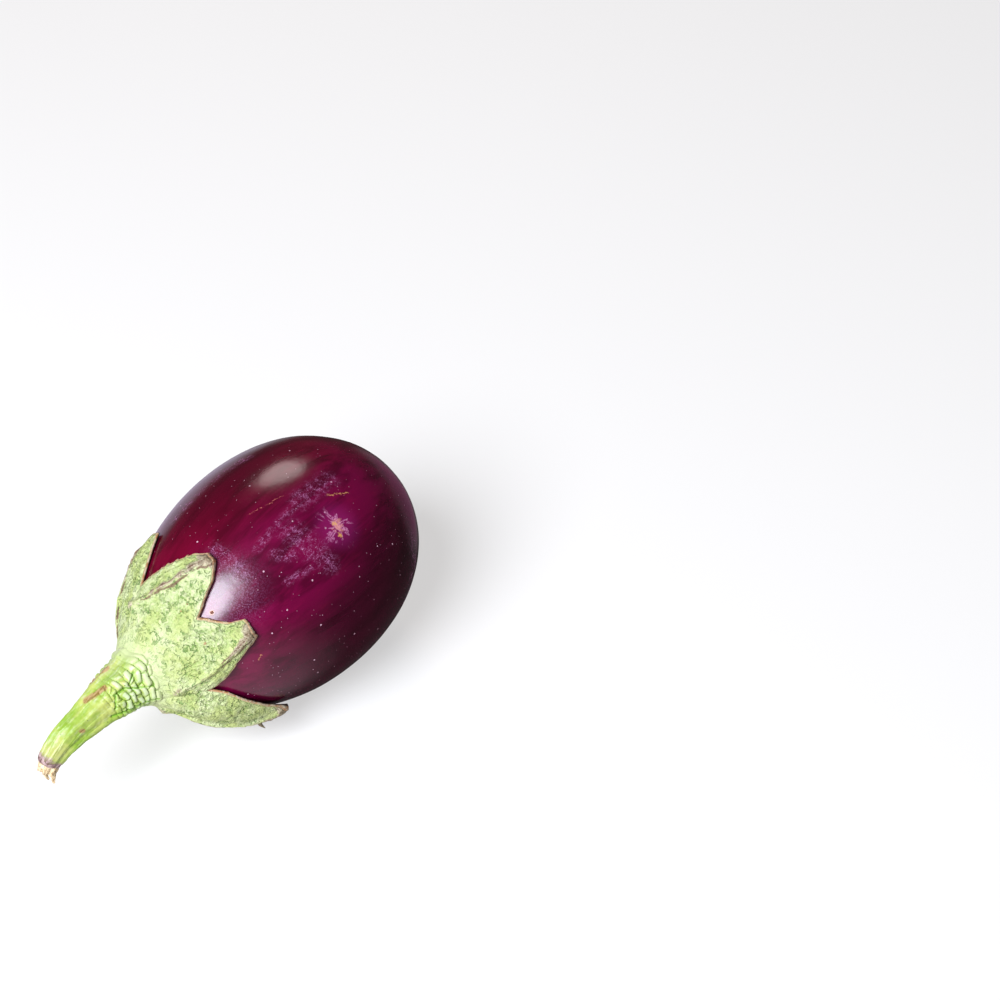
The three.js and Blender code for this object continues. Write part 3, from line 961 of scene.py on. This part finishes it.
# Deep cracks between the blocks: both ends, and the half width
STEM_CRACKS = [
    ((0.33, 50), (0.24, 49), 0.26),
    ((0.24, 49), (0.16, 30), 0.24),
    ((0.16, 30), (0.05, 18), 0.24),
    ((0.32, 48), (0.37, 18), 0.28),
    ((0.20, 47), (0.12, 62), 0.2),
    ((0.42, 2), (0.04, -12), 0.3),
    ((0.3, 182), (0.05, 190), 0.26),
]
# The cut end, row by row: the share of the radius, and how far out it stands in millimetres
STEM_END_ROWS = ((0.95, 0.16), (0.84, 0.14), (0.76, -0.15), (0.6, -0.4), (0.3, -0.45), (0, -0.45))


def curve_between(before, start, end, after, share):
    """A point on the smooth curve from start to end."""
    return 0.5 * (
        2 * start
        + (end - before) * share
        + (2 * before - 5 * start + 4 * end - after) * share ** 2
        + (3 * start - before - 3 * end + after) * share ** 3
    )


def smooth_line(places, steps=24):
    """A smooth curve through the given places, as a function of the share of its length."""
    points = [Vector((0, along, up)) for along, up in places]
    padded = [2 * points[0] - points[1], *points, 2 * points[-1] - points[-2]]
    line = [
        curve_between(*padded[i:i + 4], step / steps)
        for i in range(len(points) - 1)
        for step in range(steps)
    ]
    line.append(points[-1])
    lengths = [0.0]
    for first, second in zip(line, line[1:]):
        lengths.append(lengths[-1] + (second - first).length)
    shares = [length / lengths[-1] for length in lengths]

    @functools.cache
    def at(share):
        """The point at a share of the length, and the way the curve runs there."""
        share = min(1.0, max(0.0, share))
        index = max(1, next(i for i, value in enumerate(shares) if value >= share))
        part = (share - shares[index - 1]) / (shares[index] - shares[index - 1])
        return line[index - 1].lerp(line[index], part), (line[index] - line[index - 1]).normalized()

    return at


stem_at = smooth_line(STEM_LINE)


def stem_point(along, turn, outward):
    """A point at some distance out of the stem's centre line."""
    middle, forward = stem_at(along)
    up = forward.cross(SIDE)
    return middle + SIDE * (outward * math.cos(turn)) + up * (outward * math.sin(turn))


def on_stem(start, end, half_width):
    """A scar or crack with its ends as points on the stem's surface."""

    def on_surface(along, turn):
        return stem_point(along, math.radians(turn), read_along(STEM_RADII, along))

    return on_surface(*start), on_surface(*end), half_width


def block_top(point, along, turn):
    """Rounded blocks in staggered rows across the stem: 1 on their tops and 0 in the grooves between."""
    level = STEM_LENGTH * along / BLOCK_LENGTH + 0.5 * speckle(point, 3.2, 4)
    row = math.floor(level)
    around = turn / (2 * math.pi) * BLOCKS_AROUND + 0.5 * (row % 2) + 0.45 * speckle(point, 4.0, 9)
    lengthwise = abs(2 * (level - row) - 1)
    crosswise = abs(2 * (around - math.floor(around)) - 1)
    return (1 - lengthwise ** 3) * (1 - crosswise ** 5)


def stem_relief(point, along, turn, cracks):
    """The height of the stem's relief there, how deep its grooves are, and how much its blocks swell."""
    on_ridge = smooth(math.cos(turn - PLAIN_RIDGE), 0.75, 0.95)
    blocky = (1 - smooth(along, 0.26, 0.46)) * (1 - 0.85 * on_ridge)
    top = block_top(point, along, turn)
    swelling = top * blocky
    groove = smooth(top, 0.45, 0.0) * blocky
    rib = 0.26 * math.cos(5 * turn + 1.6 * along + 0.6) + 0.12 * math.cos(11 * turn + 2)
    off_line = smooth(abs(math.sin(6.5 * turn + 1.5 * speckle(point, 6, 2))), 0.0, 0.3)
    lines = (1 - off_line) * smooth(along, 0.3, 0.6)
    crack = max(hump(away_from_line(point, *ends), width) for *ends, width in cracks)
    rough = 0.14 * speckle(point, 2.4, 5) + 0.07 * speckle(point, 0.9, 6)
    flare = ROOT_FLARE * (1 - smooth(along, 0.03, 0.13))
    height = rib + rough + 0.6 * swelling - 0.15 * groove - 0.12 * lines - 0.5 * crack + flare
    return height, max(0.65 * groove, 0.4 * lines, crack), swelling


def stem_material():
    shader = Shader("stem green")
    along = shader.mark("along")
    grain = shader.noise(0.8, 4.0, 0.65, shader.stretched((1, 0.3, 1)))
    rough = grain - 0.5
    blotches = shader.noise(4.0, 3.0, 0.6, shader.stretched((1, 0.5, 1)))
    uneven = blotches - 0.5
    across, _, up = shader.parts(shader.place)
    # Painted shade: the stem's lower side, turned from the light, is darker green.
    under = (across * 0.5 - up + uneven * 3).step(-4, 0)
    root = (along + uneven * 0.12).step(0.42, 0.1)
    tops = (shader.mark("swelling") + rough * 0.5).step(0.6, 1.0)
    groove = shader.mark("groove")
    speck = shader.cells(2.2, place=shader.moved(3, 1, 8)).step(0.12, 0.06)
    scar = (shader.mark("scar") + rough * 1.1).step(0.4, 0.75)
    rim = (along + rough * 0.08 + uneven * 0.05).step(0.935, 0.965)
    green = shader.painted(
        shader.mix(blotches.step(0.35, 0.65), STEM_GREEN, STEM_LIGHT),
        (grain.step(0.48, 0.72) * 0.7, STEM_PALE),
        (under * 0.55, STEM_SHADE_GREEN),
        (root * grain.step(0.3, 0.6) * 0.4, STEM_PALE),
        # Painted highlight: the tops of the blocks are pale.
        (tops * 0.75, STEM_TOP_HIGHLIGHT),
        ((along + rough * 0.05).step(0.12, 0.04), LIME),
        # The grooves and cracks are darker: partly their own green, partly painted shade.
        (groove.step(0.1, 0.6) * 0.8, STEM_GROOVE_AND_SHADE_GREEN),
        (groove.step(0.6, 1.1) * 0.75, STEM_DEEP_GROOVE_AND_SHADE_GREEN),
        (speck * 0.7, STEM_SPECK),
        (scar * 0.85, shader.mix(grain.step(0.4, 0.6), STEM_SCAR_DARK, STEM_SCAR_LIGHT)),
        ((along + uneven * 0.3).step(0.78, 0.95) * 0.5, STEM_YELLOW),
        (rim, shader.mix(grain.step(0.4, 0.62), PURPLE_BROWN, MAUVE)),
        # Painted shade in the sunken middle of the cut end.
        (shader.mark("sunken_shade"), SHADE_BROWN),
    )
    return shader.finish({
        "Base Color": green,
        "Roughness": 0.3 + grain * 0.2,
        "Normal": shader.bump(grain, 0.5, 0.12),
    })


def make_stem():
    cracks = [on_stem(*crack) for crack in STEM_CRACKS]
    scars = [on_stem(*scar) for scar in STEM_SCARS]

    def place(column, row):
        turn = 2 * math.pi * column / STEM_COLUMNS
        along = min(1.0, max(0, row - 1) / STEM_ROWS)
        radius = read_along(STEM_RADII, along)
        bare = stem_point(along, turn, radius)
        height, groove, swelling = stem_relief(bare, along, turn, cracks)
        radius += height * (1 - 0.7 * smooth(along, 0.9, 1.0))
        scar = max(hump(away_from_line(bare, *ends), 1.3 * width) for *ends, width in scars)
        if row == 0:
            return stem_point(0, turn, 0), 0, 0, 0, 0, 0
        if row <= 1 + STEM_ROWS:
            return stem_point(along, turn, radius), groove, along, scar, 0, swelling
        rim, stand = STEM_END_ROWS[row - STEM_ROWS - 2]
        point = stem_point(1, turn, radius * rim) + stem_at(1)[1] * stand
        return point, 0, 1, 0, smooth(row - STEM_ROWS, 2, 4), 0

    rows = 1 + STEM_ROWS + len(STEM_END_ROWS)
    bm = wrapped(STEM_COLUMNS, rows, place, ["groove", "along", "scar", "sunken_shade", "swelling"])
    finished(bm, "stem_stalk", stem_material(), "stem")


# The dry fibres at the cut end

DARK_STRAW = (0.20, 0.10, 0.03)
STRAW = (0.68, 0.52, 0.30)
PALE_STRAW = (0.72, 0.62, 0.45)

CUT_FACE_RADIUS = 2.4
CUT_FACE_HEIGHT = 2.7
PLUG_COLUMNS = 48
PLUG_ROWS = 8
PLUG_SINK = 0.3
STRAND_LENGTH = 5.0
STRAND_COLUMNS = 8
STRAND_ROWS = 14
# The clumps of strands: degrees round the cut face, how many strands, and their share of the length
CLUMPS = ((205, 11, 1.0), (-35, 11, 0.92), (90, 4, 0.4))
CLUMP_SPREAD = 38
CLUMP_RADIUS = 2.0
HANGING = Vector((0, 0.12, -1))
CUT_MIDDLE, CUT_WAY = stem_at(1)


def around_cut(turn):
    """The way out from the middle of the cut face, at an angle round it."""
    return SIDE * math.cos(turn) + CUT_WAY.cross(SIDE) * math.sin(turn)


def frayed_plug(column, row):
    """The shrunken plug of fibres that the strands grow from."""
    turn = 2 * math.pi * column / PLUG_COLUMNS
    along = min(1, max(0, row - 1) / (PLUG_ROWS - 2))
    fray = 0.16 * math.sin(7 * turn + 1) + 0.12 * math.sin(13 * turn)
    radius = CUT_FACE_RADIUS * mixed(1.0, 0.74, along ** 2) * (1 + fray * (0.4 + along))
    rim = 1 if 0 < row < PLUG_ROWS else 0
    base = CUT_MIDDLE + CUT_WAY * (CUT_FACE_HEIGHT * along * (1 + 0.25 * fray) - PLUG_SINK)
    return (base + around_cut(turn) * radius * rim,)


def dry_strand(dice, degrees, longest):
    """A flat curling strand that hangs from the plug and leans towards its clump."""
    clump_side = math.cos(math.radians(degrees))
    outward = around_cut(math.radians(degrees + dice.uniform(-CLUMP_SPREAD, CLUMP_SPREAD)))
    length = STRAND_LENGTH * longest * dice.uniform(0.7, 1.0)
    width = dice.uniform(0.4, 0.85)
    curl = dice.uniform(-1.2, 1.2)
    hook = dice.uniform(0.1, 0.9) * (-1 if clump_side > 0 else 1)
    sideways = Vector((dice.uniform(-1, 1), dice.uniform(-1, 1), 0.2)).normalized()

    def place(column, row):
        turn, along = 2 * math.pi * column / STRAND_COLUMNS, row / STRAND_ROWS
        point = CUT_MIDDLE + CUT_WAY * (0.5 * CUT_FACE_HEIGHT + 0.3 * length * math.sin(1.2 * along))
        point += HANGING * length * along ** 1.25
        root, end = outward * CUT_FACE_RADIUS * 0.72, SIDE * clump_side * CLUMP_RADIUS
        point += root.lerp(end, smooth(along, 0.15, 0.8))
        point += SIDE * (hook * along ** 3 + 0.18 * math.sin(curl + 5 * along))
        half_width = width * (1 - 0.6 * along ** 2) if 0 < row < STRAND_ROWS else 0
        point += sideways * (half_width * math.cos(turn + curl * along))
        point += sideways.cross(HANGING) * (0.4 * half_width * math.sin(turn + curl * along))
        return (point,)

    return wrapped(STRAND_COLUMNS, STRAND_ROWS, place)


def fibre_material():
    shader = Shader("dry fibre")
    grain = shader.noise(0.45, 4.0, 0.7, shader.stretched((1, 1, 0.3)))
    straw = shader.mix(grain.step(0.34, 0.54), DARK_STRAW, STRAW)
    straw = shader.mix(shader.noise(1.4, 2.0, 0.5).step(0.5, 0.7) * 0.8, straw, PALE_STRAW)
    return shader.finish({
        "Base Color": straw,
        "Roughness": 0.8 + grain * 0.1,
        "Normal": shader.bump(grain, 0.5, 0.1),
    })


def make_stem_end():
    dice = random.Random(11)
    bm = wrapped(PLUG_COLUMNS, PLUG_ROWS, frayed_plug)
    for degrees, count, longest in CLUMPS:
        for _ in range(count):
            joined(bm, dry_strand(dice, degrees, longest))
    finished(bm, "stem_fibres", fibre_material(), "stem_end")


# The floor, the light and the camera

WHITE = (1, 1, 1)
FLOOR_SIZE = 12.0
FLOOR_GREY = (0.36, 0.355, 0.34)
FLOOR_GLOW = 0.57

# What the skin mirrors: a bright table in front and two tinted gaps behind, in an otherwise dark room.
# A way is told as the camera's operator would: right, forward and up.
TABLE_WAY = (-0.25, -0.75, -0.6)
TABLE_LIGHT = 0.9
TABLE_TINT = (1.0, 0.82, 0.93)
LEFT_GAP_WAY = (-0.5, 0.75, -0.43)
LEFT_GAP_LIGHT = 0.85
LEFT_GAP_TINT = (0.85, 0.78, 1.0)
RIGHT_GAP_WAY = (0.42, 0.82, -0.38)
RIGHT_GAP_LIGHT = 0.45
RIGHT_GAP_TINT = (0.66, 0.26, 0.46)
ROOM_LIGHT = 0.045
BACKDROP_LIGHT = 0.82

# The softboxes: the way to each, its distance and size in metres, its power and its colour
SOFTBOXES = {
    "key softbox": ((-0.34, -0.61, 0.71), 0.9, 0.56, 17.5, (0.87, 0.90, 1.0)),
    "back softbox": ((-0.1, 0.73, 0.68), 1.0, 0.38, 1.9, (1.0, 0.84, 0.82)),
}


def make_floor():
    bm = bmesh.new()
    bmesh.ops.create_grid(bm, x_segments=1, y_segments=1, size=FLOOR_SIZE)
    material = Shader("pale floor").finish({
        "Base Color": rgba(FLOOR_GREY),
        "Roughness": 0.9,
        "Specular IOR Level": 0.1,
        "Emission Color": rgba(WHITE),
        "Emission Strength": FLOOR_GLOW,
    })
    floor = solid(bm, "floor", material)
    floor.visible_glossy = False


def seen_from_camera(right, forward, up):
    """A direction told as the camera's operator would, as a direction of the frame."""
    return Euler((0, 0, CAMERA_TURN)).to_matrix() @ Vector((right, forward, up)).normalized()


def make_light(name, way, distance, size, power, colour):
    towards = seen_from_camera(*way)
    data = bpy.data.lights.new(name, "AREA")
    data.shape = "DISK"
    data.size = size
    data.energy = power
    data.color = colour
    light = in_scene(name, data)
    light.location = MIDDLE * MM + towards * distance
    light.rotation_euler = towards.to_track_quat("Z", "Y").to_euler()
    light.visible_camera = False


def make_camera():
    back = seen_from_camera(0, -math.cos(CAMERA_ELEVATION), math.sin(CAMERA_ELEVATION))
    right = seen_from_camera(1, 0, 0)
    up = back.cross(right)
    focal = FOCAL_LENGTH_MM / SENSOR_WIDTH_MM * IMAGE_SIZE
    from_centre = [(pixel - IMAGE_SIZE / 2) / focal * CAMERA_DISTANCE for pixel in MIDDLE_PIXEL]
    data = bpy.data.cameras.new("camera")
    data.lens = FOCAL_LENGTH_MM
    data.sensor_width = SENSOR_WIDTH_MM
    data.clip_start = 0.01
    camera = in_scene("camera", data)
    camera.location = MIDDLE * MM + back * CAMERA_DISTANCE - right * from_centre[0] + up * from_centre[1]
    camera.rotation_euler = (math.pi / 2 - CAMERA_ELEVATION, 0, CAMERA_TURN)
    bpy.context.scene.camera = camera


def make_world():
    """A pale backdrop; the skin mirrors a dim room with a bright table in front."""
    world = bpy.data.worlds.new("studio")
    world.use_nodes = True
    sky = Nodes(world.node_tree)
    direction = sky.node("TexCoord", {}, {}, "Generated")

    def facing(way):
        """How nearly the sky's direction is a way: 1 when they are the same."""
        return sky.vectors("DOT_PRODUCT", direction, seen_from_camera(*way), output="Value")

    front = facing(TABLE_WAY).step(0.35, 0.85)
    left = facing(LEFT_GAP_WAY).step(0.9, 0.975)
    right = facing(RIGHT_GAP_WAY).step(0.93, 0.98)
    gaps = left * LEFT_GAP_LIGHT + right * RIGHT_GAP_LIGHT
    mirrored = ROOM_LIGHT + front * (TABLE_LIGHT - ROOM_LIGHT) + gaps
    seen = sky.node("LightPath", {}, {}, "Is Camera Ray")
    strength = mirrored + seen * (BACKDROP_LIGHT - mirrored)
    tint = sky.mix(left, sky.mix(front, WHITE, TABLE_TINT), LEFT_GAP_TINT)
    tint = sky.mix(right, tint, RIGHT_GAP_TINT)
    surface = sky.node("Background", {}, {"Color": sky.mix(seen, tint, WHITE), "Strength": strength})
    sky.output("World", surface)
    bpy.context.scene.world = world


bpy.context.scene.view_settings.view_transform = "Standard"
make_camera()
make_world()
for name, softbox in SOFTBOXES.items():
    make_light(name, *softbox)
make_floor()
make_fruit()
make_calyx()
make_stem()
make_stem_end()
